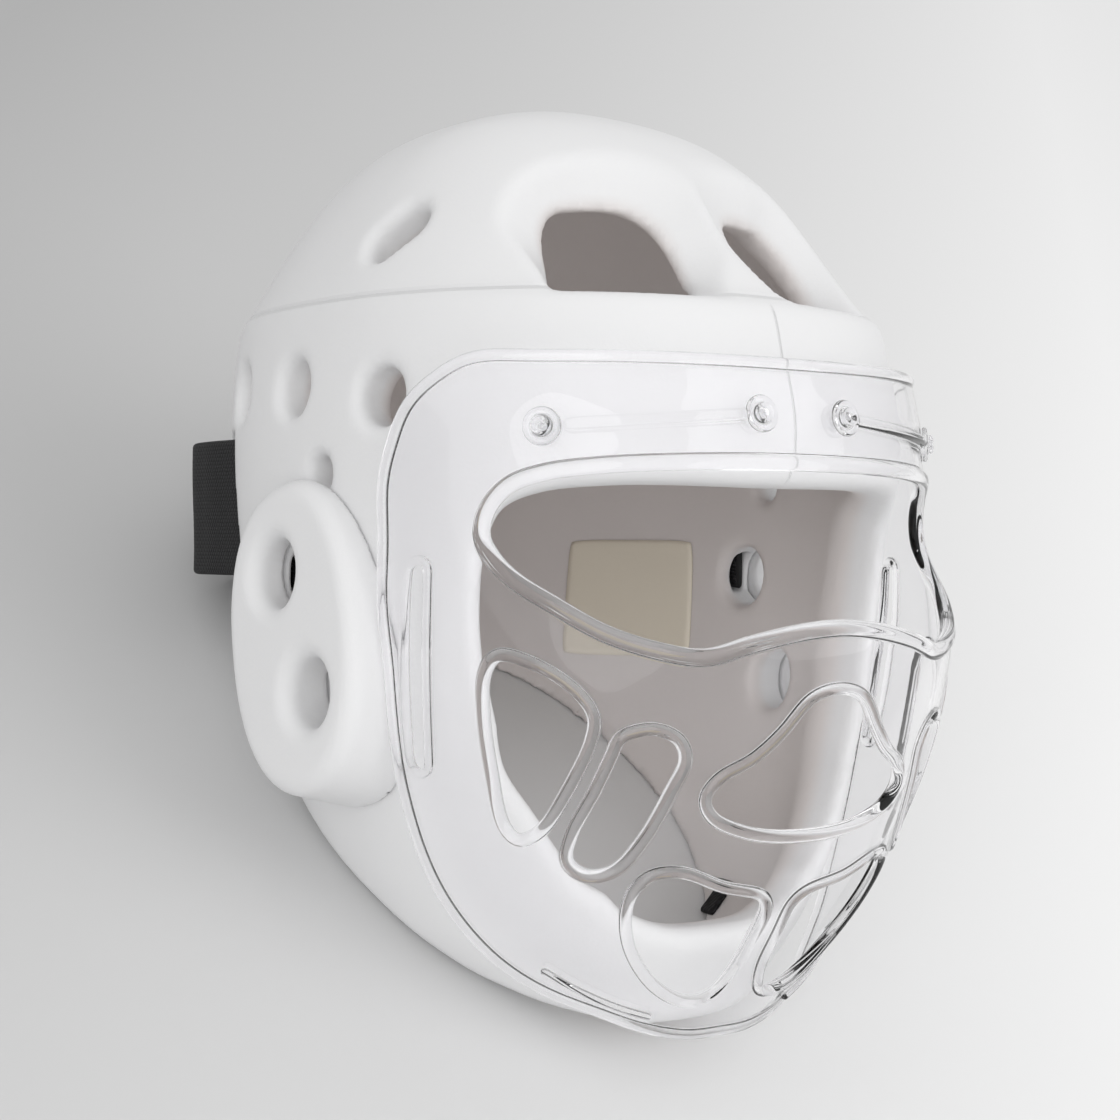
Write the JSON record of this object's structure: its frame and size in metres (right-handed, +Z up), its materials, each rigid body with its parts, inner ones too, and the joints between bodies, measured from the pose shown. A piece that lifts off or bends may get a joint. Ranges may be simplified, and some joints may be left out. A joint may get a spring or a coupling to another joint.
{
  "type": "sparring headgear with face shield",
  "caption": "Moulded foam head guard, hollow for the head, with raised ear cups, air holes, crown vents, a rear strap and a clear vented face shield.",
  "frame": {"origin": "under the middle of the whole, at the level the neck rim rests on", "axes": "+X to the wearer's left, -Y the way the face looks and the shield stands, +Z up as the headgear rests on its neck rim"},
  "size_m": [0.22, 0.2908, 0.2111],
  "materials": {
    "foam": "white satin skin on soft foam",
    "shield": "clear polished plastic",
    "screw": "clear polished plastic",
    "webbing": "black elastic webbing",
    "patch": "cream vinyl patch, blank"
  },
  "bodies": {
    "root": {"foam_shell": "foam", "ear_cup_right": "foam", "ear_cup_left": "foam", "face_shield": "shield", "screw_right_inner": "screw", "screw_right_outer": "screw", "screw_left_inner": "screw", "screw_left_outer": "screw", "rear_strap": "webbing", "chin_strap_end": "webbing", "inner_patch": "patch"}
  },
  "joints": []
}
